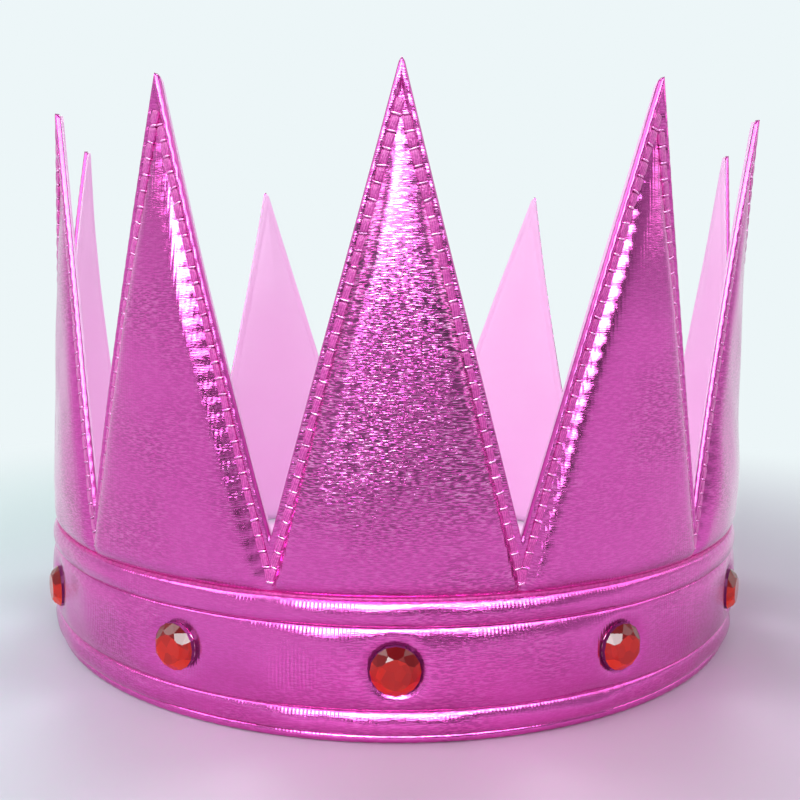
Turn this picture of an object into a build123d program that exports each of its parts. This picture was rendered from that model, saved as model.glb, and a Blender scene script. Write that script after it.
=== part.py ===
from build123d import *
import os
from math import asin, atan, cos, degrees, radians, sin, tan

os.makedirs("parts", exist_ok=True)

# Driving dimensions, in millimetres and degrees. +Z is up, the origin lies on the table in the middle of
# the ring, and the first point faces -Y.
point_count = 12
seam_radius = 95.0
hem_height = 2.0
lower_roll_height = 4.9
band_height = 17.0
top_roll_height = 5.2
shoulder_height = 11.3
point_height = 89.2
tip_width = 0.9

cover_thickness = 0.9
lining_thickness = 0.8
seam_depth = 2.4
welt_depth = 2.2
stitch_margin = 2.7
pad_parting = 1.0
pad_end_gap = 1.4

hem_swell = 0.3
lower_roll_swell = 1.0
band_swell = 1.5
top_roll_swell = 1.2
seam_slope = 45.0
point_swell = 1.5

gem_diameter = 10.0
gem_thickness = 2.6
gem_skirt = 0.9
gem_table_share = 0.62
gem_main_facets = 8
gem_star_tilt = 26.0
gem_above_band = 8.6
gem_sink = 0.7
gem_clearance = 0.1
gem_drift = {1: -0.9, 11: 1.9}

# Levels and radii that follow from the driving dimensions
lower_seam = hem_height + lower_roll_height
band_seam = lower_seam + band_height
top_seam = band_seam + top_roll_height
gap_floor = top_seam + shoulder_height
crown_height = gap_floor + point_height

lining_outside = seam_radius - seam_depth
lining_inside = lining_outside - lining_thickness
welt_radius = lining_outside + welt_depth
crest_radius = seam_radius + max(band_swell, point_swell)

pitch = 360 / point_count
half_pitch = pitch / 2
tip_half_angle = degrees(asin(tip_width / 2 / seam_radius))
edge_lean = degrees(atan(seam_radius * tan(radians(half_pitch)) / point_height))
pad_tip = crown_height - stitch_margin / sin(radians(edge_lean))

gem_radius = gem_diameter / 2
gem_height = lower_seam + gem_above_band
gem_seat = seam_radius + band_swell - gem_sink
gem_corners = 2 * gem_main_facets
corner_cos = cos(radians(180 / gem_corners))
seat_radius = gem_radius + gem_clearance / corner_cos

CUT = 5.0


def facing(distance):
    """The upright plane that faces -Y, at this distance from the ring's axis, with its own Y upwards."""
    return Plane(origin=(0, -distance, 0), x_dir=(1, 0, 0), z_dir=(0, -1, 0))


def around(turn, height=0.0, distance=0.0):
    """The place on the ring that lies this many degrees from the front, looking outwards."""
    plane = facing(0).rotated((0, 0, turn))
    return Plane(origin=plane.z_dir * distance + Vector(0, 0, height), x_dir=plane.x_dir, z_dir=plane.z_dir)


def point_slice(height, half_angle):
    """Level slice of a point between two upright sides that run straight at the ring's axis."""
    across = sin(radians(half_angle))
    along = cos(radians(half_angle))
    near = lining_inside
    far = crest_radius + CUT
    with BuildSketch(Plane.XY.offset(height)) as section:
        with BuildLine():
            Polyline(
                (-near * across, -near * along),
                (-far * across, -far * along),
                (far * across, -far * along),
                (near * across, -near * along),
                close=True,
            )
        make_face()
    return section.sketch


def padded_point(skin):
    """Stuffed part of a point, inside its topstitching: it bulges in the middle and thins out to the tip."""
    foot = top_seam + skin
    tip = pad_tip - skin / sin(radians(edge_lean))
    base_angle = half_pitch - degrees(asin((pad_parting / 2 + skin) / seam_radius))

    # A leaning cylinder gives the bulge: through the crest at the foot, and down to the stitching at the tip
    crest = seam_radius + point_swell
    drop = crest - welt_radius * cos(radians(half_pitch))
    reach = welt_radius * sin(radians(half_pitch))
    bulge_radius = (drop**2 + reach**2) / (2 * drop)
    bulge_axis = Plane(
        origin=(0, bulge_radius - crest, top_seam),
        z_dir=(0, crest - welt_radius, pad_tip - top_seam),
    )

    with BuildPart() as pad:
        loft(sections=[point_slice(foot, base_angle), point_slice(tip, tip_half_angle)], ruled=True)
        with BuildSketch(bulge_axis.offset(-CUT)):
            Circle(bulge_radius - skin)
        extrude(amount=point_height + shoulder_height, mode=Mode.INTERSECT)
        with BuildSketch(Plane.XY.offset(top_seam)):
            Circle(lining_outside)
        extrude(amount=crown_height - top_seam, mode=Mode.SUBTRACT)
    return pad.part


# The V between two points, as a cutter whose sides run straight at the ring's axis
with BuildPart() as point_gap:
    gap_faces = []
    for distance in (lining_inside - CUT, crest_radius + CUT):
        half_width = distance * tan(radians(half_pitch - tip_half_angle))
        overshoot = (point_height + CUT) / point_height
        with BuildSketch(facing(distance)) as gap_outline:
            with BuildLine():
                Polyline(
                    (0, gap_floor),
                    (half_width * overshoot, crown_height + CUT),
                    (-half_width * overshoot, crown_height + CUT),
                    close=True,
                )
            make_face()
        gap_faces.append(gap_outline.sketch)
    loft(sections=gap_faces, ruled=True)


# Lining: a plain pointed cylinder of thin fabric that stands on the hem
with BuildPart() as lining:
    with BuildSketch(Plane.XY.offset(hem_height)):
        Circle(lining_outside)
        Circle(lining_inside, mode=Mode.SUBTRACT)
    extrude(amount=crown_height - hem_height)
    with PolarLocations(0, point_count, start_angle=half_pitch):
        add(point_gap.part, mode=Mode.SUBTRACT)
lining.part.label = "lining"
export_step(lining.part, "parts/lining.step")


# Band fillings: three strips of wadding behind the rolls, clear of the seams
band_rolls = {
    "lower_roll_pad": (hem_height, lower_seam, lower_roll_swell),
    "band_pad": (lower_seam, band_seam, band_swell),
    "top_roll_pad": (band_seam, top_seam, top_roll_swell),
}
band_pads = []
for name, (low, high, swell) in band_rolls.items():
    with BuildPart() as roll_pad:
        with BuildSketch(Plane.XY.offset(low + pad_end_gap)):
            Circle(seam_radius + swell - cover_thickness)
            Circle(lining_outside, mode=Mode.SUBTRACT)
        extrude(amount=high - low - 2 * pad_end_gap)
    roll_pad.part.label = name
    export_step(roll_pad.part, f"parts/{name}.step")
    band_pads.append(roll_pad.part)


# Point fillings: one tapered cushion behind the cover of each point
point_filling = padded_point(cover_thickness)
point_pads = []
for number in range(point_count):
    with BuildPart() as point_pad:
        with Locations(Rotation(0, 0, pitch * number)):
            add(point_filling)
    name = f"point_pad_{number + 1:02d}"
    point_pad.part.label = name
    export_step(point_pad.part, f"parts/{name}.step")
    point_pads.append(point_pad.part)


# Gem places: one under each point, where it was glued
gem_turns = [pitch * number + gem_drift.get(number, 0.0) for number in range(point_count)]
gem_places = [around(turn, gem_height, gem_seat) for turn in gem_turns]

# Outer cover: rolls, band and points in one shell, drawn in at the seams and thin along the points' edges
cover_outline = [(lining_outside, hem_height), (seam_radius, hem_height)]
for low, high, swell in band_rolls.values():
    rise = swell / tan(radians(seam_slope))
    cover_outline.append((seam_radius + swell, low + rise))
    cover_outline.append((seam_radius + swell, high - rise))
    cover_outline.append((seam_radius, high))
cover_outline.append((lining_outside, top_seam))

with BuildPart() as outer_cover:
    with BuildSketch(Plane.XZ):
        with BuildLine():
            Polyline(*cover_outline, close=True)
        make_face()
    revolve(axis=Axis.Z)
    with BuildSketch(Plane.XY.offset(top_seam)):
        Circle(welt_radius)
        Circle(lining_outside, mode=Mode.SUBTRACT)
    extrude(amount=crown_height - top_seam)
    with PolarLocations(0, point_count, start_angle=half_pitch):
        add(point_gap.part, mode=Mode.SUBTRACT)
    with PolarLocations(0, point_count):
        add(padded_point(0.0))
    for filling in (*band_pads, *point_pads):
        add(filling, mode=Mode.SUBTRACT)
    with BuildSketch(*gem_places):
        RegularPolygon(seat_radius, gem_corners)
    extrude(amount=CUT, mode=Mode.SUBTRACT)
outer_cover.part.label = "outer_cover"
export_step(outer_cover.part, "parts/outer_cover.step")


# Hem: the thin piping that closes the layers below and gives the crown its flat foot
with BuildPart() as hem_piping:
    with BuildSketch(Plane.XZ) as hem_section:
        with BuildLine():
            Polyline(
                (lining_inside, hem_height),
                (lining_inside, 0),
                (seam_radius - hem_height / 2, 0),
                (seam_radius + hem_swell, hem_height / 2),
                (seam_radius, hem_height),
                close=True,
            )
        make_face()
    revolve(axis=Axis.Z)
hem_piping.part.label = "hem_piping"
export_step(hem_piping.part, "parts/hem_piping.step")


# Gem: a flat back, a straight skirt with many corners and a cut crown of mains, stars and upper girdle facets
table_reach = gem_radius * gem_table_share
crown_rise = gem_thickness - gem_skirt
main_run = (gem_radius - table_reach) / crown_rise
ridge = cos(radians(180 / gem_main_facets))
star_reach = table_reach * 0.97
star_run = 1 / tan(radians(gem_star_tilt))
star_drop = (table_reach / ridge - star_reach) / (star_run - main_run / ridge)
ridge_reach = (table_reach + main_run * star_drop) / ridge
girdle_reach = gem_radius * corner_cos
girdle_run = (girdle_reach - ridge_reach * corner_cos) / (crown_rise - star_drop)


def facet_plane(turn, reach, level, run):
    """A facet that leans outwards: reach from the gem's axis at this level, run outwards for each unit down."""
    outward = Vector(cos(radians(turn)), sin(radians(turn)), 0)
    return Plane(origin=outward * reach + Vector(0, 0, level), z_dir=outward + Vector(0, 0, run))


main_turn = 360 / gem_main_facets
facets = []
for step in range(gem_main_facets):
    facets.append(facet_plane(main_turn * step, table_reach, gem_thickness, main_run))
    facets.append(facet_plane(main_turn * (step + 0.5), star_reach, gem_thickness, star_run))
    facets.append(facet_plane(main_turn * (step + 0.25), girdle_reach, gem_skirt, girdle_run))
    facets.append(facet_plane(main_turn * (step + 0.75), girdle_reach, gem_skirt, girdle_run))

with BuildPart() as cut_gem:
    with BuildSketch():
        RegularPolygon(gem_radius, gem_corners)
    extrude(amount=gem_thickness)
    for facet in facets:
        split(bisect_by=facet, keep=Keep.BOTTOM)

for number, place in enumerate(gem_places):
    with BuildPart() as gem:
        with Locations(place):
            add(cut_gem.part)
    name = f"gem_{number + 1:02d}"
    gem.part.label = name
    export_step(gem.part, f"parts/{name}.step")
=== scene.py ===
import math

import bmesh
import bpy
import numpy as np
from mathutils import Matrix, Vector


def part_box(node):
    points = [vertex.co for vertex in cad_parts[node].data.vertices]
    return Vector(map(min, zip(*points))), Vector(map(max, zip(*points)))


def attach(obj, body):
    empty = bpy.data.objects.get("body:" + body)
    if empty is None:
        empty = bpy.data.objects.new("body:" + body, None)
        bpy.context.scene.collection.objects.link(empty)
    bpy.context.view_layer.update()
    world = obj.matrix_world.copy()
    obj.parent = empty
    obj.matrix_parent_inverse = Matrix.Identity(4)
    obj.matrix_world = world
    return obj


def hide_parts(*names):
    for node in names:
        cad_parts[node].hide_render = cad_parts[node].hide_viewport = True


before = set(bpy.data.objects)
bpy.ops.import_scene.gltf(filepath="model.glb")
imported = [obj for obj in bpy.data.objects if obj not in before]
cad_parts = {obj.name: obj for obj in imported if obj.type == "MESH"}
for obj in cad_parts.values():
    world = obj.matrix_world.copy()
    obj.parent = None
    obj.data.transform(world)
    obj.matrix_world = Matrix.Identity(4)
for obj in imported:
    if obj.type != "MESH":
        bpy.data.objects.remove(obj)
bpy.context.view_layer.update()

MM = 0.001
POINT_COUNT = 12
PITCH = 2 * math.pi / POINT_COUNT
HALF_PITCH = PITCH / 2

# Levels and radii in millimetres, read from the frame
HEM_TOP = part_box("hem_piping")[1].z / MM
CROWN_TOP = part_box("lining")[1].z / MM
LINING_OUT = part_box("lining")[1].x / MM
PAD_END_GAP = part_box("lower_roll_pad")[0].z / MM - HEM_TOP
TOP_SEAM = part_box("top_roll_pad")[1].z / MM + PAD_END_GAP
BAND_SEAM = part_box("band_pad")[1].z / MM + PAD_END_GAP
LOWER_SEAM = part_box("lower_roll_pad")[1].z / MM + PAD_END_GAP
BAND_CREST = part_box("outer_cover")[1].x / MM
SEAMS = (TOP_SEAM, BAND_SEAM, LOWER_SEAM)

# The ring and the points' outline, in millimetres
SEAM_R = 95.0
LINING_THICKNESS = 0.8
LINING_IN = LINING_OUT - LINING_THICKNESS
GAP_FLOOR = 40.4
POINT_HEIGHT = CROWN_TOP - GAP_FLOOR
TIP_WIDTH = 0.9
TIP_HALF_ANGLE = math.asin(TIP_WIDTH / 2 / SEAM_R)
EDGE_SLOPE = math.tan(HALF_PITCH - TIP_HALF_ANGLE) / POINT_HEIGHT
EDGE_COS = math.cos(math.atan(SEAM_R * math.tan(HALF_PITCH) / POINT_HEIGHT))

# Topstitching: both rows of a point start at its apex and end where they meet the next point's rows
STITCH_APEX = CROWN_TOP - 6.8
STITCH_FOOT = TOP_SEAM + 2.3
ROW_SLOPE = SEAM_R * HALF_PITCH / (STITCH_APEX - STITCH_FOOT)
ROW_COS = math.cos(math.atan(ROW_SLOPE))
ROW_SIN = math.sin(math.atan(ROW_SLOPE))
STITCHES = 30
STITCH_STEP = (STITCH_APEX - STITCH_FOOT) / ROW_COS / STITCHES

# Section of a point: radii of the rolled rim, its outer edge, the stitched groove, the foot and the back
RIM_R = 95.3
EDGE_R = 94.35
GROOVE_R = 94.75
FOOT_R = SEAM_R - 0.15
BACK_R = LINING_OUT + 0.15

# Section of a point: how far from the stitch row, the edge or the top seam each form runs
RIM_START = 0.5
RIM_RUN = 0.6
CURL_RUN = 0.65
PAD_RUN = 1.8
PAD_CURVE = 1.35
SOFT_RUN = 4
FOOT_RUN = 1.5
GROOVE_RISE = 7
PUCKER_DEPTH = 0.30
PUCKER_RUN = 1.4
RIM_PUCKER_DEPTH = 0.18
RIM_PUCKER_PLACE = 1.1
EDGE_THINNING = 1.55
THINNING_REACH = 6.0

# How far each point leans at its tip, in millimetres: sideways, outwards and up, from the front point round
LEAN_SIDE = np.array([0.4, 2.6, 0.5, -0.8, -1.5, -6.0, 0.4, 3.4, 1.8, -0.8, 0.8, 0.3])
LEAN_OUT = np.array([-0.1, 2.6, 2.6, 1.6, 1.8, 3.0, 1.0, 1.7, -0.6, -3.7, -1.7, -0.1])
LEAN_UP = np.array([-0.1, 0.0, -0.2, 0.0, 0.0, -1.6, 0.0, -0.7, 0.0, 0.0, 0.0, 0.1])
LEAN_GROWTH = 1.6

# How far each point bows outwards halfway up, and how much fuller it is at its foot
BOW_OUT = np.array([0, 0, -1.0, 0, 0, 0, 0, 0, 0, 0, -1.1, 0])
FOOT_SWELL = np.array([0, 0, 0.9, 0.1, 0.0, 0, 0, 0, 0.0, 0.1, 0.1, 0])
SWELL_HEIGHT = 44
SWELL_REACH = 11

# How thick each point's stuffing is, and how wide it is where it reaches that, in millimetres
STUFFED_RISE = np.array([2.55, 2.55, 1.5, 1.6, 2.1, 2.3, 2.3, 2.3, 2.1, 1.6, 1.3, 2.55])
STUFFED_WIDTH = np.array([11.5, 13, 17, 17, 17, 15, 15, 15, 17, 17, 17, 13])

# The band's three rolls, from the hem up: lower and upper seam, crest radius, squareness and sag
ROLL_FOOT_R = SEAM_R + 0.1
BAND_ROLLS = [
    (HEM_TOP, LOWER_SEAM, SEAM_R + 1.3, 2.0, 0.72),
    (LOWER_SEAM, BAND_SEAM, BAND_CREST + 0.3, 2.3, 0.85),
    (BAND_SEAM, TOP_SEAM, SEAM_R + 1.5, 2.0, 0.7),
]
ROLL_ROWS = (16, 36, 16)
GATHER_STEP = 3.1

# The gems' places, and the pressed seat and dimple round each
GEM_TURNS = []
for number in range(POINT_COUNT):
    low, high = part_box(f"gem_{number + 1:02d}")
    middle = (low + high) / 2
    GEM_TURNS.append(math.atan2(middle.x, -middle.y))
GEM_HEIGHT = (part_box("gem_01")[0].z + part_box("gem_01")[1].z) / 2 / MM
GEM_RADIUS = (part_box("gem_01")[1].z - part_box("gem_01")[0].z) / 2 / MM
GEM_BACK = -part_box("gem_01")[1].y / MM
SEAT_GAP = 0.12
SEAT_WALL = 0.5
DIMPLE_DEPTH = 0.55
DIMPLE_REACH = 1.6


def smooth_step(x):
    """0 below 0, 1 above 1, smooth between them."""
    x = np.clip(x, 0.0, 1.0)
    return x * x * (3 - 2 * x)


def bell(distance, width):
    """1 in the middle, and falling off on both sides over this width."""
    return np.exp(-((distance / width) ** 2))


def quarter_round(share):
    """Height of a quarter circle over its width: 0 at its foot and 1 at its top."""
    return np.sqrt(np.clip(1 - (1 - np.clip(share, 0, 1)) ** 2, 0, 1))


def pad_fall(u, run):
    """Rise of stuffed fabric from a row of stitches, u millimetres away from it."""
    return 1 - np.exp(-((np.maximum(u, 0) / run) ** PAD_CURVE))


def unit(v):
    return v / np.maximum(np.linalg.norm(v, axis=-1, keepdims=True), 1e-12)


def square_to(vector, along):
    """The vector turned until it stands square to a direction."""
    return unit(vector - along * np.dot(vector, along))


def point_index(turn):
    """Number of the point that a direction round the ring belongs to, from 0 at the front."""
    return np.round(turn / PITCH).astype(int) % POINT_COUNT


def edge_turn(z):
    """Angle from a point's middle to its edge, and on below the gap to where the stitch rows meet."""
    return HALF_PITCH - np.arctan((z - GAP_FLOOR) * EDGE_SLOPE)


def edge_distance(x, z):
    """Distance from a point's slanted edge, for x millimetres from its middle."""
    return (SEAM_R * edge_turn(z) - np.abs(x)) * EDGE_COS


def along_row(x, z):
    """How far down the stitch row a place lies, from the row's apex."""
    return np.abs(x) * ROW_SIN + (STITCH_APEX - z) * ROW_COS


def row_distance(x, z):
    """How far inside its own stitch row a place lies; places between the row and the edge are negative."""
    return ((STITCH_APEX - z) * ROW_SLOPE - np.abs(x)) * ROW_COS


def stitch_beat(down):
    """1 between two stitches and 0 in the middle of a stitch."""
    return 0.5 + 0.5 * np.cos(2 * math.pi * down / STITCH_STEP)


def waviness(turn, z):
    """Small uneven swelling of sewn wadding, in millimetres."""
    w = 0.16 * np.sin(5 * turn + 0.7) * np.sin(z / 23 + 1.1)
    w += 0.13 * np.sin(11 * turn + z / 17 + 2.3)
    w += 0.09 * np.sin(19 * turn - z / 9 + 0.4)
    w += 0.05 * np.sin(37 * turn + z / 5 + 3.1)
    return w


def edge_lift(x, z):
    """How far the layers behind come forward where they are sewn together along the edges."""
    near = bell(np.maximum(edge_distance(x, z), 0), THINNING_REACH)
    return EDGE_THINNING * near * smooth_step((z - TOP_SEAM) / (GAP_FLOOR - TOP_SEAM))


def settle(turn, radius, z):
    """World place of a spot on the crown, with each point's own lean."""
    index = point_index(turn)
    share = np.clip((z - GAP_FLOOR) / POINT_HEIGHT, 0, 1)
    rise = np.clip((z - GAP_FLOOR) / POINT_HEIGHT, 0, 1.1) ** LEAN_GROWTH
    bow = BOW_OUT[index] * 4 * share * (1 - share)
    r = (radius + LEAN_OUT[index] * rise + bow) * MM
    side = LEAN_SIDE[index] * rise * MM
    height = (z + LEAN_UP[index] * rise) * MM
    x = r * np.sin(turn) + side * np.cos(turn)
    y = -r * np.cos(turn) + side * np.sin(turn)
    return np.stack([x, y, height * np.ones_like(x)], -1)


def groove_floor(z):
    """Radius of the stitched groove's floor, which rises to the top seam at its foot."""
    return FOOT_R - (FOOT_R - GROOVE_R) * smooth_step((z - TOP_SEAM) / GROOVE_RISE)


def point_radius(x, z, turn):
    """Outer surface of the points: rolled rim, stitched groove and stuffed middle."""
    tip_fullness = 0.12
    row_end = 1.2
    index = point_index(turn)
    near_row = row_distance(x, z)
    far_row = near_row + 2 * np.abs(x) * ROW_COS
    down = along_row(x, z)
    foot = pad_fall(z - TOP_SEAM, FOOT_RUN)

    fullness = smooth_step(row_distance(0 * x, z) / STUFFED_WIDTH[index] + tip_fullness)
    pad = STUFFED_RISE[index] * fullness * pad_fall(near_row, PAD_RUN) * pad_fall(far_row, PAD_RUN)
    rim = (RIM_R - GROOVE_R) * smooth_step((-near_row - RIM_START) / RIM_RUN)
    curl = (RIM_R - EDGE_R) * (1 - quarter_round(edge_distance(x, z) / CURL_RUN))

    beat = stitch_beat(down) ** 2
    pad_side = np.exp(-np.maximum(near_row, 0) / PUCKER_RUN) * smooth_step(near_row / RIM_RUN)
    puckers = PUCKER_DEPTH * pad_side + RIM_PUCKER_DEPTH * bell(near_row + RIM_PUCKER_PLACE, RIM_RUN)
    row_fade = smooth_step((down + row_end) / row_end) * smooth_step((z - TOP_SEAM - 1.0) / 2.0)

    swell = FOOT_SWELL[index] * bell(z - SWELL_HEIGHT, SWELL_REACH)
    soft = (swell + waviness(turn, z)) * foot * np.clip(near_row / SOFT_RUN, 0, 1)
    return groove_floor(z) + rim - curl + pad * foot - puckers * beat * row_fade + soft


def roll_shape(z, low, high, crest, sharp, sag):
    """A stuffed roll between two seams, whose crest sags below the middle."""
    t = np.clip((z - low) / (high - low), 0, 1) ** sag
    return ROLL_FOOT_R + (crest - ROLL_FOOT_R) * (1 - np.abs(2 * t - 1) ** sharp) ** (1 / sharp)


def press_gem_seat(r, turn, z, gem_turn):
    """Presses one gem's flat seat, and the soft dimple round it, into the band's surface."""
    off = np.arctan2(np.sin(turn - gem_turn), np.cos(turn - gem_turn))
    reach = np.hypot(off * SEAM_R, z - GEM_HEIGHT)
    seat = (GEM_BACK - SEAT_GAP) / np.cos(np.clip(off, -0.2, 0.2))
    wall = smooth_step((reach - GEM_RADIUS - SEAT_GAP) / SEAT_WALL)
    pressed = r - DIMPLE_DEPTH * bell(reach - GEM_RADIUS, DIMPLE_REACH) * (reach > GEM_RADIUS)
    return np.where(reach < GEM_RADIUS + SEAT_GAP + SEAT_WALL, seat + (pressed - seat) * wall, pressed)


def band_radius(turn, z):
    """Outer surface below the points: lower roll, gem band and top roll, with a seat for each gem."""
    wave_share, wave_run = 1.3, 3
    dent_depth, dent_run = 0.22, 4
    gather_depth, gather_run = 0.05, 0.9
    lower, band, top = [roll_shape(z, *roll) for roll in BAND_ROLLS]
    r = np.where(z < LOWER_SEAM, lower, np.where(z < BAND_SEAM, band, top))
    inside = np.minimum.reduce([np.abs(z - seam) for seam in SEAMS])
    r = r + wave_share * waviness(turn, z) * smooth_step(inside / wave_run)
    dents = dent_depth * np.sin(13 * turn + 0.6) * np.sin(5 * turn + 2.0)
    r = r + dents * smooth_step(inside / dent_run) * (z > LOWER_SEAM)
    gather = gather_depth * np.sin(turn * SEAM_R * 2 * math.pi / GATHER_STEP)
    r = r + gather * np.exp(-inside / gather_run)
    for gem_turn in GEM_TURNS:
        r = press_gem_seat(r, turn, z, gem_turn)
    return r


def lining_radius(x, z, turn):
    """Inner face of the lining, pressed in along the stitch rows and the seams."""
    row_depth, row_width = 0.28, 0.55
    seam_depth, seam_width = 0.12, 0.8
    edge_thinning, edge_run = 0.25, 1.2
    least_thickness = 0.25
    row = bell(row_distance(x, z), row_width) * (z > TOP_SEAM + 1)
    seams = sum(bell(z - seam, seam_width) for seam in SEAMS)
    pressed = row * (row_depth + 0.1 * stitch_beat(along_row(x, z))) + seam_depth * seams
    thin = edge_thinning * (1 - smooth_step(edge_distance(x, z) / edge_run))
    inner = LINING_IN + thin + pressed + 0.5 * waviness(turn + 1, z)
    return np.minimum(inner, LINING_OUT - least_thickness)


def new_piece(name, verts, faces, material):
    mesh = bpy.data.meshes.new(name)
    mesh.from_pydata([tuple(v) for v in verts], [], [tuple(f) for f in faces])
    mesh.validate()
    piece = bpy.data.objects.new(name, mesh)
    bpy.context.scene.collection.objects.link(piece)
    mesh.materials.append(material)
    return piece


def weld(piece, distance=2e-6):
    """Joins the sectors' shared edges, turns all faces outwards and shades them smooth."""
    bm = bmesh.new()
    bm.from_mesh(piece.data)
    bmesh.ops.remove_doubles(bm, verts=bm.verts, dist=distance)
    bmesh.ops.recalc_face_normals(bm, faces=bm.faces)
    bm.to_mesh(piece.data)
    bm.free()
    for polygon in piece.data.polygons:
        polygon.use_smooth = True


def mark_points(piece, name, values):
    """Keeps one number for each vertex, for a material to read."""
    mark = piece.data.attributes.new(name, "FLOAT", "POINT")
    mark.data.foreach_set("value", np.array(values, np.float32))


def grid_faces(rows, cols, start=0, closed=False):
    """Quads of a grid whose vertices are numbered row by row."""
    faces = []
    last = cols if closed else cols - 1
    for i in range(rows - 1):
        for j in range(last):
            k = (j + 1) % cols
            faces.append((start + i * cols + j, start + i * cols + k,
                          start + (i + 1) * cols + k, start + (i + 1) * cols + j))
    return faces


def ring_faces(rows, around, start=0):
    """Quads of a closed ring, whose last row joins its first."""
    faces = grid_faces(rows, around, start, closed=True)
    last = start + (rows - 1) * around
    for j in range(around):
        k = (j + 1) % around
        faces.append((last + j, last + k, start + k, start + j))
    return faces


def closing_strip(front, front_start, back, back_start):
    """Triangles that join two rows over the same stretch, given their places and first vertices."""
    faces = []
    i = j = 0
    while i < len(front) - 1 or j < len(back) - 1:
        front_next = j == len(back) - 1 or (i < len(front) - 1 and front[i + 1] <= back[j + 1])
        if front_next:
            faces.append((front_start + i, front_start + i + 1, back_start + j))
            i += 1
        else:
            faces.append((front_start + i, back_start + j + 1, back_start + j))
            j += 1
    return faces


def shell_faces(front_x, back_x, floor_row, start):
    """One sector's closed shell: its front, its back, its foot, and its two edges from floor_row up."""
    rows, cols = front_x.shape
    back_cols = back_x.shape[1]
    back = start + rows * cols
    faces = grid_faces(rows, cols, start)
    faces += [tuple(reversed(face)) for face in grid_faces(rows, back_cols, back)]
    faces += closing_strip(front_x[0], start, back_x[0], back)
    for i in range(floor_row, rows - 1):
        for a, b in ((0, 0), (cols - 1, back_cols - 1)):
            faces.append((start + i * cols + a, start + (i + 1) * cols + a,
                          back + (i + 1) * back_cols + b, back + i * back_cols + b))
    return faces


def column_places(half_width, near, middle_count):
    """Places across half a point, for each row: fixed steps near the edge, and even ones to the middle."""
    steps = np.array(near)
    least_share = 1.35
    shrink = np.minimum(1.0, half_width / (steps[-1] * least_share))[:, None]
    fixed = half_width[:, None] - steps[None, :] * shrink
    share = np.linspace(1, 0, middle_count + 1)[1:][None, :]
    return np.concatenate([fixed, fixed[:, -1:] * share], axis=1)


def sector_grid(levels, near, middle_count):
    """Places (x, z) over one point's sector, from its left edge to its right edge."""
    tip_half_width = 1e-6
    half_width = SEAM_R * np.minimum(edge_turn(levels), HALF_PITCH)
    half_width[-1] = tip_half_width
    right = column_places(half_width, near, middle_count)
    x = np.concatenate([-right, right[:, -2::-1]], axis=1)
    return x, np.repeat(levels[:, None], x.shape[1], axis=1)


def points_cover(material):
    """The cover's twelve stuffed points, each a closed shell from the top seam to its tip."""
    rows_per_stitch = 5
    near_edge = (0, 0.3, 0.62, 0.95, 1.35, 1.8, 2.25, 2.7, 3.15, 3.6, 4.15, 4.8, 5.7)
    foot_levels = np.linspace(TOP_SEAM, GAP_FLOOR, 17)
    count = int(round(POINT_HEIGHT / (STITCH_STEP * EDGE_COS / rows_per_stitch)))
    levels = np.concatenate([foot_levels, np.linspace(GAP_FLOOR, CROWN_TOP, count + 1)[1:]])
    x, z = sector_grid(levels, [step / EDGE_COS for step in near_edge], 8)
    back_x, back_z = sector_grid(levels, [0, 1.5, 4.0], 2)
    verts, faces, edge = [], [], []
    for number in range(POINT_COUNT):
        turn = x / SEAM_R + PITCH * number
        back_turn = back_x / SEAM_R + PITCH * number
        outer = settle(turn, point_radius(x, z, turn), z)
        inner = settle(back_turn, BACK_R + edge_lift(back_x, back_z), back_z)
        faces += shell_faces(x, back_x, len(foot_levels) - 1, len(verts))
        verts += list(outer.reshape(-1, 3)) + list(inner.reshape(-1, 3))
        edge += list(edge_distance(x, z).ravel()) + [THINNING_REACH] * back_x.size
    piece = new_piece("points_cover", verts, faces, material)
    mark_points(piece, "edge_mm", edge)
    weld(piece)
    return piece


def lining_piece(material):
    """The lining: a thin closed shell behind the cover and the hem, with the same points."""
    low_levels = np.linspace(0.1, TOP_SEAM, 13)[:-1]
    foot_levels = np.concatenate([low_levels, np.linspace(TOP_SEAM, GAP_FLOOR, 8)])
    levels = np.concatenate([foot_levels, np.linspace(GAP_FLOOR, CROWN_TOP - 0.4, 76)[1:]])
    x, z = sector_grid(levels, [0, 0.4, 0.9, 1.5, 1.9, 2.3, 2.8, 3.6, 5.0], 4)
    lift = edge_lift(x, z)
    verts, faces = [], []
    for number in range(POINT_COUNT):
        turn = x / SEAM_R + PITCH * number
        inside = settle(turn, lining_radius(x, z, turn) + lift, z)
        outside = settle(turn, LINING_OUT + lift, z)
        faces += shell_faces(x, x, len(foot_levels) - 1, len(verts))
        verts += list(inside.reshape(-1, 3)) + list(outside.reshape(-1, 3))
    piece = new_piece("lining_fabric", verts, faces, material)
    weld(piece)
    return piece


def ring_piece(name, profile, around, material):
    """A closed ring: profile(turns) gives the radius and height of each spot of its section."""
    turns = np.arange(around) * 2 * math.pi / around
    radius, z = profile(turns[None, :])
    verts = settle(turns[None, :] + 0 * radius, radius, z)
    piece = new_piece(name, verts.reshape(-1, 3), ring_faces(radius.shape[0], around), material)
    weld(piece)
    return piece


def band_levels():
    """Rows from the hem to the top seam, closer together beside the seams."""
    levels = []
    for (low, high, *_), count in zip(BAND_ROLLS, ROLL_ROWS):
        share = (1 - np.cos(np.linspace(0, math.pi, count + 1))) / 2
        share = 0.6 * share + 0.4 * np.linspace(0, 1, count + 1)
        levels += list(low + (high - low) * share[:-1])
    return np.array(levels + [TOP_SEAM])


def band_profile(turns):
    """The three rolls outside, and a plain back against the lining."""
    z = band_levels()[:, None] + 0 * turns
    outer = band_radius(turns + 0 * z, z)
    back_z = np.linspace(TOP_SEAM, HEM_TOP, 4)[:, None] + 0 * turns
    return np.concatenate([outer, BACK_R + 0 * back_z]), np.concatenate([z, back_z])


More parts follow.
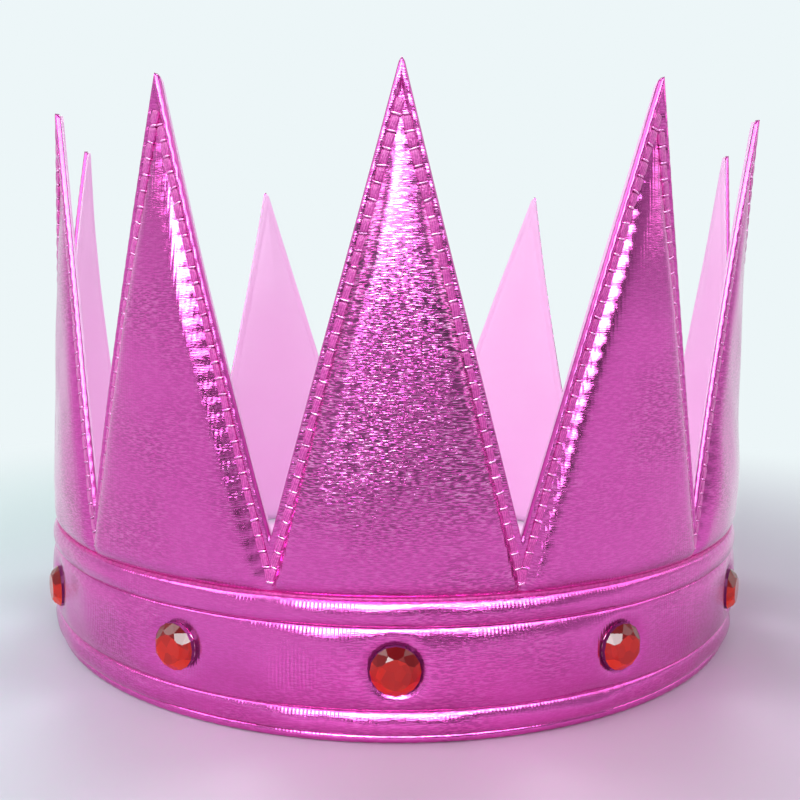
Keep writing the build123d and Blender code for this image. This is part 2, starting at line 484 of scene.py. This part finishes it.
def hem_profile(turns):
    """A thin roll: round outside, flat under it, and square against the lining."""
    middle_r = SEAM_R - 0.35
    round_r = 0.75
    foot = 0.02
    ripple = 0.06 * np.sin(turns * 190)
    sweep = np.linspace(-0.5 * math.pi, 0.5 * math.pi, 11)[:, None] + 0 * turns
    radius = middle_r + round_r * np.cos(sweep) + ripple
    z = HEM_TOP / 2 + (HEM_TOP / 2 - foot) * np.sin(sweep)
    wall_r = LINING_OUT + np.array([0.2, 0, 0, 0.2])[:, None] + 0 * turns
    wall_z = np.array([HEM_TOP - foot, HEM_TOP - 0.2, 0.25, foot])[:, None] + 0 * turns
    return np.concatenate([radius, wall_r]), np.concatenate([z, wall_z])


def rounded(c, square):
    """A sine or cosine pushed outwards, so that a circle of it turns nearly square."""
    return np.sign(c) * np.abs(c) ** square


def thread_blocks(name, blocks, material, sides, rings, square):
    """Short pillows of thread, one for each place, direction, normal and half size."""
    twist = 0.12
    u = np.linspace(-math.pi / 2, math.pi / 2, rings)
    v = np.arange(sides) * 2 * math.pi / sides
    girth = (np.abs(np.cos(u)) ** square)[:, None]
    grid_x = rounded(np.sin(u), square)[:, None] * np.ones(sides)[None, :]
    grid_y = girth * rounded(np.cos(v), square)[None, :]
    grid_z = girth * rounded(np.sin(v), square)[None, :]
    body = np.stack([grid_x, grid_y, grid_z], -1).reshape(-1, 3)
    body_faces = grid_faces(rings, sides, closed=True)
    verts, faces, strand = [], [], []
    for place, along, normal, size in blocks:
        basis = np.stack([along, np.cross(normal, along), normal]) * (np.array(size) * MM)[:, None]
        start = len(verts) * len(body)
        verts.append(place + body @ basis)
        faces += [tuple(start + i for i in face) for face in body_faces]
        strand.append(body[:, 1] * size[1] + twist * body[:, 0] * size[0])
    piece = new_piece(name, np.concatenate(verts), faces, material)
    mark_points(piece, "strand_mm", np.concatenate(strand))
    weld(piece, distance=1e-7)
    return piece


def bed_spots(x, z, number):
    """Places on the bed of the stitches of one point, with the surface's outward normals."""
    bed_rise = 0.1
    reach = 0.2

    def at(dx, dz):
        turn = (x + dx) / SEAM_R + PITCH * number
        return settle(turn, groove_floor(z + dz) + bed_rise + 0 * x, z + dz)

    across = at(reach, 0) - at(-reach, 0)
    up = at(0, reach) - at(0, -reach)
    return at(0, 0), unit(np.cross(across, up))


def row_spots(number, side, down):
    """Places down one stitch row, with the normal and the row's own direction at each."""
    ahead = 0.3
    x = side * down * ROW_SIN
    z = STITCH_APEX - down * ROW_COS
    place, normal = bed_spots(x, z, number)
    next_place, _ = bed_spots(x + side * ahead * ROW_SIN, z - ahead * ROW_COS, number)
    return place, normal, unit(next_place - place)


def topstitching(material):
    """A block of thread in each stitch along both edges of every point. The two rows share the first."""
    half_depth = 0.36
    blocks = []
    rng = np.random.default_rng(7)
    for number in range(POINT_COUNT):
        for side in (-1, 1):
            place, normal, along = row_spots(number, side, (np.arange(STITCHES) + 0.5) * STITCH_STEP)
            jitter = rng.normal(0, 0.05, (STITCHES, 3)) * MM
            for k in range(STITCHES):
                if k == 0 and side == 1:
                    continue
                half_width = 0.88 + rng.normal(0, 0.05)
                half_length = STITCH_STEP * (0.42 + rng.normal(0, 0.01))
                size = (half_length, half_width, half_depth)
                blocks.append((place[k] + jitter[k], along[k], square_to(normal[k], along[k]), size))
    return thread_blocks("topstitch_thread", blocks, material, sides=12, rings=8, square=0.45)


def foil_puckers(material):
    """The narrow bar of foil that swells up between one stitch and the next."""
    rise = 0.12
    half_depth = 0.38
    blocks = []
    rng = np.random.default_rng(11)
    for number in range(POINT_COUNT):
        for side in (-1, 1):
            place, normal, along = row_spots(number, side, np.arange(STITCHES + 1) * STITCH_STEP)
            for k in range(1, STITCHES + 1):
                across = np.cross(normal[k], along[k])
                across = unit(across + along[k] * rng.normal(0, 0.12))
                half_length = 0.92 + rng.normal(0, 0.10)
                half_width = 0.28 + rng.normal(0, 0.04)
                raised = place[k] + normal[k] * rise * MM
                size = (half_length, half_width, half_depth)
                blocks.append((raised, across, square_to(normal[k], across), size))
    return thread_blocks("stitch_puckers", blocks, material, sides=8, rings=7, square=0.8)


def seam_cords(material):
    """The soft line of sunk stitches in each of the band's three seams."""
    around, sides = 1400, 8
    stitch, cord, stitch_swell = 2.6, 0.42, 0.07
    stand_out, tallness = 0.12, 1.15
    turns = np.arange(around) * 2 * math.pi / around
    sweep = np.arange(sides) * 2 * math.pi / sides
    swell = cord + stitch_swell * np.abs(np.sin(turns * SEAM_R * math.pi / stitch))
    radius = SEAM_R + stand_out + swell[None, :] * np.cos(sweep)[:, None]
    verts, faces = [], []
    for seam in SEAMS:
        height = seam + tallness * swell[None, :] * np.sin(sweep)[:, None]
        faces += ring_faces(sides, around, len(verts))
        verts += list(settle(turns[None, :] + 0 * radius, radius, height).reshape(-1, 3))
    piece = new_piece("seam_cords", verts, faces, material)
    weld(piece, distance=1e-7)
    return piece


def gem_backings(material):
    """The thin mirror foil behind each gem, turned up a little at its rim."""
    sides = 40
    gap_behind = 0.08
    angles = np.arange(sides) * 2 * math.pi / sides

    # Each ring's share of the gem's radius, and how far it stands out
    rings = [(0.0, 0.03), (0.6, 0.03), (0.9, 0.03), (0.96, 0.05), (0.96, 0.02), (0.6, 0.0), (0.0, 0.0)]
    verts, faces = [], []
    for turn in GEM_TURNS:
        outward = np.array([math.sin(turn), -math.cos(turn), 0])
        side = np.array([math.cos(turn), math.sin(turn), 0])
        middle = outward * (GEM_BACK - gap_behind) * MM + np.array([0, 0, GEM_HEIGHT * MM])
        faces += grid_faces(len(rings), sides, len(verts), closed=True)
        for share, lift in rings:
            reach = GEM_RADIUS * share * MM
            for angle in angles:
                flat = side * reach * math.cos(angle) + np.array([0, 0, reach * math.sin(angle)])
                verts.append(middle + flat + outward * lift * MM)
    piece = new_piece("gem_backings", verts, faces, material)
    weld(piece, distance=1e-7)
    return piece


def node_material(name):
    material = bpy.data.materials.new(name)
    material.use_nodes = True
    tree = material.node_tree
    return material, tree, tree.nodes["Principled BSDF"]


def add(tree, kind, inputs=None, **settings):
    node = tree.nodes.new(kind)
    for key, value in settings.items():
        setattr(node, key, value)
    for key, value in (inputs or {}).items():
        if isinstance(value, bpy.types.NodeSocket):
            tree.links.new(value, node.inputs[key])
        else:
            node.inputs[key].default_value = value
    return node


def maths(tree, operation, a, b=0.0, c=0.0):
    return add(tree, "ShaderNodeMath", {0: a, 1: b, 2: c}, operation=operation).outputs[0]


def invert(tree, value):
    return maths(tree, "SUBTRACT", 1.0, value)


def negate(tree, value):
    return maths(tree, "MULTIPLY", value, -1.0)


def product(tree, first, *others):
    for other in others:
        first = maths(tree, "MULTIPLY", first, other)
    return first


def mix_colour(tree, factor, a, b):
    node = tree.nodes.new("ShaderNodeMix")
    node.data_type = "RGBA"
    for socket, value in ((node.inputs[0], factor), (node.inputs[6], a), (node.inputs[7], b)):
        if isinstance(value, bpy.types.NodeSocket):
            tree.links.new(value, socket)
        else:
            socket.default_value = value
    return node.outputs[2]


def ramp(tree, value, low, high):
    """0 below low, 1 above high, smooth between them."""
    node = add(tree, "ShaderNodeMapRange", {0: value, 1: low, 2: high}, interpolation_type="SMOOTHSTEP")
    return node.outputs[0]


def noise(tree, place, scale, detail=2.0, roughness=0.5):
    """Fractal noise from 0 to 1. A scale of three numbers draws it out along an axis."""
    if isinstance(scale, tuple):
        place = add(tree, "ShaderNodeMapping", {0: place, 3: scale}, vector_type="POINT").outputs[0]
        scale = 1.0
    settings = {"Vector": place, "Scale": scale, "Detail": detail, "Roughness": roughness}
    return add(tree, "ShaderNodeTexNoise", settings).outputs[0]


def object_place(tree):
    return add(tree, "ShaderNodeTexCoord").outputs["Object"]


def separate(tree, vector):
    return add(tree, "ShaderNodeSeparateXYZ", {0: vector}).outputs


def ring_turn(tree, x, y):
    """Direction round the ring, from the front."""
    return maths(tree, "ARCTAN2", x, negate(tree, y))


def ribs_round(tree, turn, step):
    """A sine across upright ribs this many millimetres apart, with a whole number of them round the ring."""
    count = round(2 * math.pi * SEAM_R / step)
    return maths(tree, "SINE", maths(tree, "MULTIPLY", turn, float(count)))


def relief(tree, height, strength, depth):
    """Surface normal that shows this height, whose full range is depth metres."""
    return add(tree, "ShaderNodeBump", {"Height": height, "Strength": strength, "Distance": depth}).outputs[0]


def dress(tree, shader, colour, normal, plain):
    """Links a material's colour and relief, and sets the values that are the same all over."""
    tree.links.new(colour, shader.inputs["Base Color"])
    if normal is not None:
        tree.links.new(normal, shader.inputs["Normal"])
    for name, value in plain.items():
        shader.inputs[name].default_value = value


def srgb(text):
    """Linear colour of a hexadecimal one."""
    parts = [int(text[i:i + 2], 16) / 255 for i in (0, 2, 4)]
    linear = [p / 12.92 if p <= 0.04045 else ((p + 0.055) / 1.055) ** 2.4 for p in parts]
    return (*linear, 1.0)


FOIL_TONES = ("DF58BA", "D346AA")
# A paler copy of the foil's tones: painted highlight on the bars that swell up between stitches
PUCKER_HIGHLIGHT_TONES = ("F2A8DE", "E080C8")
# Colour of the painted glints, pale flecks on the crazed foil
CRAZED_DARK = "481040"
PAINTED_GLINT = "FBDDF8"
CUT_EDGE = "BC369C"


def foil_wear(tree, x, z):
    """1 where the foil is worn most: up the middle of the front and back points. Limits are in metres."""
    middle = invert(tree, ramp(tree, maths(tree, "ABSOLUTE", x), 0.020, 0.040))
    high = maths(tree, "SUBTRACT", ramp(tree, z, 0.036, 0.056), ramp(tree, z, 0.105, 0.135))
    return maths(tree, "MULTIPLY", middle, high)


def foil_relief(tree, place, turn, worn, crazed, ribs):
    """Ribs up the cloth in patches, and a fine grain drawn out across it where the foil is crazed."""
    rib_strength = maths(tree, "MULTIPLY", ramp(tree, noise(tree, place, 90.0), 0.3, 0.75), 0.20 * ribs)
    rib_strength = maths(tree, "MULTIPLY", rib_strength, maths(tree, "MULTIPLY_ADD", worn, -0.9, 1.0))
    rib_height = maths(tree, "MULTIPLY", ribs_round(tree, turn, 0.78), rib_strength)
    grain = noise(tree, place, (640, 640, 4400), roughness=0.55)
    grain_strength = maths(tree, "MULTIPLY_ADD", crazed, 0.80, 0.2)
    return relief(tree, maths(tree, "MULTIPLY_ADD", grain, grain_strength, rib_height), 1.0, 0.00009)


def foil_fabric(name, ribs=1.0, crackle=1.0, edge_line=False, tones=FOIL_TONES, roughness=0.12):
    """Pink foil on fine ribbed knit: metallic, with ribs up the cloth, a fine crackle across it, and pale
    flecks painted into its colour as glints of light on the crackle.
    """
    material, tree, shader = node_material(name)
    place = object_place(tree)
    x, y, z = separate(tree, place)
    worn = foil_wear(tree, x, z)
    cloud = noise(tree, place, 38.0)
    crazed = maths(tree, "MULTIPLY_ADD", worn, 0.70, 0.12)
    crazed = maths(tree, "MULTIPLY_ADD", ramp(tree, cloud, 0.4, 0.7), 0.3, crazed)
    crazed = maths(tree, "MULTIPLY", crazed, float(crackle))

    fleck = noise(tree, place, (700, 700, 4600), detail=1.0, roughness=0.6)
    dark = maths(tree, "MULTIPLY", ramp(tree, fleck, 0.47, 0.57), crazed)
    # Pale flecks where the foil is crazed: painted highlights, glints of light on the crackle mixed into the
    # colour.
    pale = maths(tree, "MULTIPLY", ramp(tree, invert(tree, fleck), 0.54, 0.66), crazed)
    colour = mix_colour(tree, cloud, srgb(tones[0]), srgb(tones[1]))
    colour = mix_colour(tree, maths(tree, "MULTIPLY", dark, 0.9), colour, srgb(CRAZED_DARK))
    colour = mix_colour(tree, maths(tree, "MULTIPLY", pale, 0.35), colour, srgb(PAINTED_GLINT))
    metal = maths(tree, "SUBTRACT", 0.95, maths(tree, "MULTIPLY", dark, 0.3))
    if edge_line:
        edge = add(tree, "ShaderNodeAttribute", attribute_name="edge_mm").outputs["Fac"]
        cut = invert(tree, ramp(tree, edge, 0.32, 0.52))
        colour = mix_colour(tree, cut, colour, srgb(CUT_EDGE))
        metal = maths(tree, "MULTIPLY", metal, maths(tree, "MULTIPLY_ADD", cut, -0.6, 1.0))
    tree.links.new(metal, shader.inputs["Metallic"])
    normal = foil_relief(tree, place, ring_turn(tree, x, y), worn, crazed, ribs)
    dress(tree, shader, colour, normal, {"Roughness": roughness, "Coat Weight": 0.35, "Coat Roughness": 0.3})
    return material


def thread_material():
    """Twisted polyester thread, with painted shade darkening the grooves between its plies."""
    ply_width = 0.42
    material, tree, shader = node_material("topstitch_thread")
    strand = add(tree, "ShaderNodeAttribute", attribute_name="strand_mm").outputs["Fac"]
    ply = maths(tree, "COSINE", maths(tree, "MULTIPLY", strand, 2 * math.pi / ply_width))
    height = maths(tree, "MULTIPLY_ADD", ply, 0.12, noise(tree, object_place(tree), 2600.0))
    # A random tone, lighter on the ply crests and darker between them: painted shade in the grooves.
    colour = mix_colour(tree, ramp(tree, height, 0.3, 0.7), srgb("BE2E98"), srgb("E45ABE"))
    normal = relief(tree, height, 0.9, 0.00008)
    dress(tree, shader, colour, normal, {"Roughness": 0.34, "Sheen Weight": 0.3})
    return material


def seam_material():
    """Matt thread packed into a seam, deep pink."""
    material, tree, shader = node_material("seam_thread")
    fuzz = noise(tree, object_place(tree), 1500.0, detail=3.0)
    colour = mix_colour(tree, ramp(tree, fuzz, 0.35, 0.65), srgb("B02482"), srgb("CE3A9C"))
    normal = relief(tree, fuzz, 0.8, 0.00012)
    dress(tree, shader, colour, normal, {"Metallic": 0.2, "Roughness": 0.42})
    return material


def lining_material():
    """Plain satin lining with a very fine weave."""
    weave_step = 0.42
    material, tree, shader = node_material("lining_satin")
    place = object_place(tree)
    x, y, z = separate(tree, place)
    warp = ribs_round(tree, ring_turn(tree, x, y), weave_step)
    weft = maths(tree, "SINE", maths(tree, "MULTIPLY", z, 2 * math.pi / (weave_step * MM)))
    cloud = noise(tree, place, 30.0, detail=3.0)
    colour = mix_colour(tree, cloud, srgb("F4C8EE"), srgb("EEB8E4"))
    normal = relief(tree, maths(tree, "MULTIPLY", warp, weft), 0.35, 0.00004)
    dress(tree, shader, colour, normal, {"Roughness": 0.6})
    return material


def gem_material():
    """Red acrylic with its light painted in: painted shade in facets that look up, a painted glow of light
    coming through in those that look down, and the clear skirt painted dark mauve for the foil seen through
    it.
    """
    material, tree, shader = node_material("red_acrylic")
    place = object_place(tree)
    level = add(tree, "ShaderNodeVectorMath", {0: place, 1: (1, 1, 0)}, operation="MULTIPLY").outputs[0]
    outward = add(tree, "ShaderNodeVectorMath", {0: level}, operation="NORMALIZE").outputs[0]
    normal = add(tree, "ShaderNodeNewGeometry").outputs["True Normal"]
    facing = add(tree, "ShaderNodeVectorMath", {0: normal, 1: outward}, operation="DOT_PRODUCT")
    up = separate(tree, normal)[2]
    facets = add(tree, "ShaderNodeTexVoronoi", {"Vector": place, "Scale": 420.0})
    tone = add(tree, "ShaderNodeSeparateColor", {0: facets.outputs["Color"]}).outputs[0]
    body = mix_colour(tree, tone, srgb("B00A06"), srgb("DA1C0E"))
    # Painted shade: facets that look up turn dark red.
    body = mix_colour(tree, ramp(tree, up, 0.05, 0.5), body, srgb("7A0A14"))
    # Painted light: facets that look down glow orange, as if lit through the gem from above.
    body = mix_colour(tree, ramp(tree, negate(tree, up), 0.05, 0.5), body, srgb("F43210"))
    # Painted see-through: the sideways-facing skirt is painted dark mauve for the pink foil seen through the
    # clear acrylic.
    skirt = invert(tree, ramp(tree, facing.outputs["Value"], 0.15, 0.4))
    colour = mix_colour(tree, skirt, body, srgb("6A2458"))
    plain = {"Roughness": 0.04, "Specular IOR Level": 0.35, "Transmission Weight": 0.12}
    dress(tree, shader, colour, None, plain)
    return material


def mirror_material():
    """Reflective backing of a gem."""
    material, tree, shader = node_material("gem_backing")
    cloud = noise(tree, object_place(tree), 400.0)
    colour = mix_colour(tree, cloud, srgb("F0E0E4"), srgb("E8C8D0"))
    dress(tree, shader, colour, None, {"Metallic": 1.0, "Roughness": 0.18})
    return material


# Stage: a seamless pale table that turns into the backdrop behind the crown
BACKDROP = srgb("EDF6F8")
FLOOR_HALF = 6.0
WINDOW_STRENGTH = 21.0
AMBIENT = 0.62


def floor_colour(tree, x, far):
    """Pale grey with painted light in it: mauve in front of the crown as painted pink light reflected from
    the foil, cooler grey to the left, darker grey to the right as painted shade, and painted pink bounce
    light from the lining inside the ring.
    """
    # The mauve in the middle is painted pink light from the foil; the darker grey to the right is painted
    # shade.
    colour = mix_colour(tree, ramp(tree, negate(tree, x), -0.02, 0.12), srgb("C0B2C1"), srgb("C0D4D4"))
    colour = mix_colour(tree, ramp(tree, x, 0.02, 0.14), colour, srgb("B6B5C0"))
    # Inside the ring: painted pink light bounced from the lining.
    return mix_colour(tree, ramp(tree, far, 0.080, 0.092), srgb("F8DCF4"), colour)


def stage_floor():
    """The table, which fades into the backdrop's own colour away from the crown."""
    corners = [(-FLOOR_HALF, -FLOOR_HALF, 0), (FLOOR_HALF, -FLOOR_HALF, 0),
               (FLOOR_HALF, FLOOR_HALF, 0), (-FLOOR_HALF, FLOOR_HALF, 0)]
    mesh = bpy.data.meshes.new("floor")
    mesh.from_pydata(corners, [], [(0, 1, 2, 3)])
    floor = bpy.data.objects.new("floor", mesh)
    bpy.context.scene.collection.objects.link(floor)
    material, tree, shader = node_material("floor")
    mesh.materials.append(material)
    place = object_place(tree)
    far = add(tree, "ShaderNodeVectorMath", {0: place}, operation="LENGTH").outputs[1]
    dress(tree, shader, floor_colour(tree, separate(tree, place)[0], far), None, {"Roughness": 0.55})

    path = add(tree, "ShaderNodeLightPath").outputs
    mirrored_fade = maths(tree, "MULTIPLY", ramp(tree, far, 0.10, 0.20), path["Is Glossy Ray"])
    fade = maths(tree, "MAXIMUM", ramp(tree, far, 0.12, 0.34), mirrored_fade)
    seen = maths(tree, "MAXIMUM", path["Is Camera Ray"], path["Is Glossy Ray"])
    seen = maths(tree, "MAXIMUM", seen, path["Is Transmission Ray"])
    glow = add(tree, "ShaderNodeEmission", {"Color": BACKDROP, "Strength": 1.0})
    share = maths(tree, "MULTIPLY", fade, seen)
    blend = add(tree, "ShaderNodeMixShader", {0: share, 1: shader.outputs[0], 2: glow.outputs[0]})
    tree.links.new(blend.outputs[0], tree.nodes["Material Output"].inputs["Surface"])


def mirrored_room(tree, x, y, z):
    """Brightness of the room in the foil: pale behind the crown and low at the sides, dim in front."""
    above = ramp(tree, z, 0.05, 0.6)
    behind = ramp(tree, y, -0.10, 0.50)
    low = invert(tree, ramp(tree, z, 0.0, 0.3))
    leftward = ramp(tree, negate(tree, x), 0.0, 0.5)
    tone = maths(tree, "MULTIPLY_ADD", leftward, 0.34, maths(tree, "MULTIPLY_ADD", low, 0.46, 0.28))
    sides = maths(tree, "MULTIPLY_ADD", ramp(tree, maths(tree, "ABSOLUTE", x), 0.15, 0.8), tone, 0.06)
    room = maths(tree, "MAXIMUM", maths(tree, "MULTIPLY_ADD", above, 0.15, sides), behind)
    return maths(tree, "MINIMUM", 1.0, room)


def mirrored_window(tree, x, y, z):
    """Brightness of the window in the foil: high in front and a little to the left, with soft edges."""
    leftward = negate(tree, x)
    lower_edge = ramp(tree, maths(tree, "MULTIPLY_ADD", x, -0.3, z), 0.27, 0.41)
    upper_edge = invert(tree, ramp(tree, z, 0.40, 0.85))
    right_edge = ramp(tree, maths(tree, "MULTIPLY_ADD", z, 1.5, leftward), 0.125, 0.275)
    left_edge = invert(tree, ramp(tree, leftward, 0.35, 0.52))
    in_front = ramp(tree, negate(tree, y), 0.2, 0.5)
    return product(tree, lower_edge, upper_edge, right_edge, left_edge, in_front, WINDOW_STRENGTH)


def studio_world():
    """A plain backdrop to the eye, even light on matt surfaces, and a room with a window in glossy ones."""
    world = bpy.data.worlds.new("studio")
    bpy.context.scene.world = world
    world.use_nodes = True
    tree = world.node_tree
    even = tree.nodes["Background"]
    even.inputs["Color"].default_value = (1, 1, 1, 1)
    even.inputs["Strength"].default_value = AMBIENT
    x, y, z = separate(tree, add(tree, "ShaderNodeTexCoord").outputs["Generated"])
    bright = maths(tree, "ADD", mirrored_room(tree, x, y, z), mirrored_window(tree, x, y, z))
    tint = mix_colour(tree, maths(tree, "MINIMUM", 1.0, bright), (0.0, 0.0, 0.0, 1), BACKDROP)
    strength = maths(tree, "MAXIMUM", 1.0, bright)
    mirrored = add(tree, "ShaderNodeBackground", {"Color": tint, "Strength": strength}).outputs[0]
    plain = add(tree, "ShaderNodeBackground", {"Color": BACKDROP, "Strength": 1.0}).outputs[0]
    path = add(tree, "ShaderNodeLightPath").outputs
    lit = add(tree, "ShaderNodeMixShader", {0: path["Is Glossy Ray"], 1: even.outputs[0], 2: mirrored})
    seen = maths(tree, "MAXIMUM", path["Is Camera Ray"], path["Is Transmission Ray"])
    final = add(tree, "ShaderNodeMixShader", {0: seen, 1: lit.outputs[0], 2: plain})
    tree.links.new(final.outputs[0], tree.nodes["World Output"].inputs["Surface"])


def softbox(name, place, target, size, watts):
    data = bpy.data.lights.new(name, "AREA")
    data.shape = "RECTANGLE"
    data.size, data.size_y = size
    data.energy = watts
    light = bpy.data.objects.new(name, data)
    light.location = place
    light.rotation_euler = (Vector(target) - Vector(place)).to_track_quat("-Z", "Y").to_euler()
    bpy.context.scene.collection.objects.link(light)


def photo_camera():
    """The photograph's place and angle: close in front, a little above the points' middle."""
    place = (0.001257, -0.24907, 0.08501)
    tilt_down = 0.1114
    roll = 0.0072
    turn_round = math.radians(-0.46)
    data = bpy.data.cameras.new("camera")
    data.sensor_width = 36.0
    data.lens = 37.34
    data.clip_start = 0.01
    data.clip_end = 30
    camera = bpy.data.objects.new("camera", data)
    look = Matrix.Rotation(math.pi / 2 - tilt_down, 4, "X") @ Matrix.Rotation(roll, 4, "Z")
    camera.matrix_world = Matrix.Rotation(turn_round, 4, "Z") @ Matrix.Translation(place) @ look
    bpy.context.scene.collection.objects.link(camera)
    bpy.context.scene.camera = camera


photo_camera()
stage_floor()
studio_world()
softbox("window", place=(-0.62, -0.30, 0.62), target=(0, 0, 0.05), size=(0.5, 0.5), watts=3.4)
softbox("front_top", place=(0.02, -0.90, 0.46), target=(0, 0, 0.07), size=(0.55, 0.26), watts=1.0)
softbox("right_fill", place=(0.8, -0.1, 0.5), target=(0, 0, 0.05), size=(0.5, 0.5), watts=1.6)
softbox("overhead", place=(0.0, 0.05, 0.62), target=(0, 0.03, 0), size=(0.12, 0.12), watts=0.9)

cover = points_cover(foil_fabric("foil_fabric", edge_line=True))
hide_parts("outer_cover", *[f"point_pad_{n + 1:02d}" for n in range(POINT_COUNT)])

band_foil = foil_fabric("foil_band", ribs=1.3, crackle=0.7, roughness=0.18)
band = ring_piece("band_cover", band_profile, 840, band_foil)
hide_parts("outer_cover", "lower_roll_pad", "band_pad", "top_roll_pad")

hem_foil = foil_fabric("foil_piping", ribs=0.8, crackle=0.5)
hem = ring_piece("hem_roll", hem_profile, 480, hem_foil)
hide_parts("hem_piping")

lining = lining_piece(lining_material())
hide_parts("lining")

stitching = topstitching(thread_material())
# The pucker bars get the paler foil tones, a painted highlight.
puckers = foil_puckers(foil_fabric("foil_puckers", ribs=0.0, crackle=0.5, tones=PUCKER_HIGHLIGHT_TONES))
seams = seam_cords(seam_material())
backings = gem_backings(mirror_material())

for piece in (cover, band, hem, lining, stitching, puckers, seams, backings):
    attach(piece, "root")

acrylic = gem_material()
for number in range(POINT_COUNT):
    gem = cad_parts[f"gem_{number + 1:02d}"]
    gem.data.materials.clear()
    gem.data.materials.append(acrylic)

bpy.context.scene.view_settings.view_transform = "Standard"
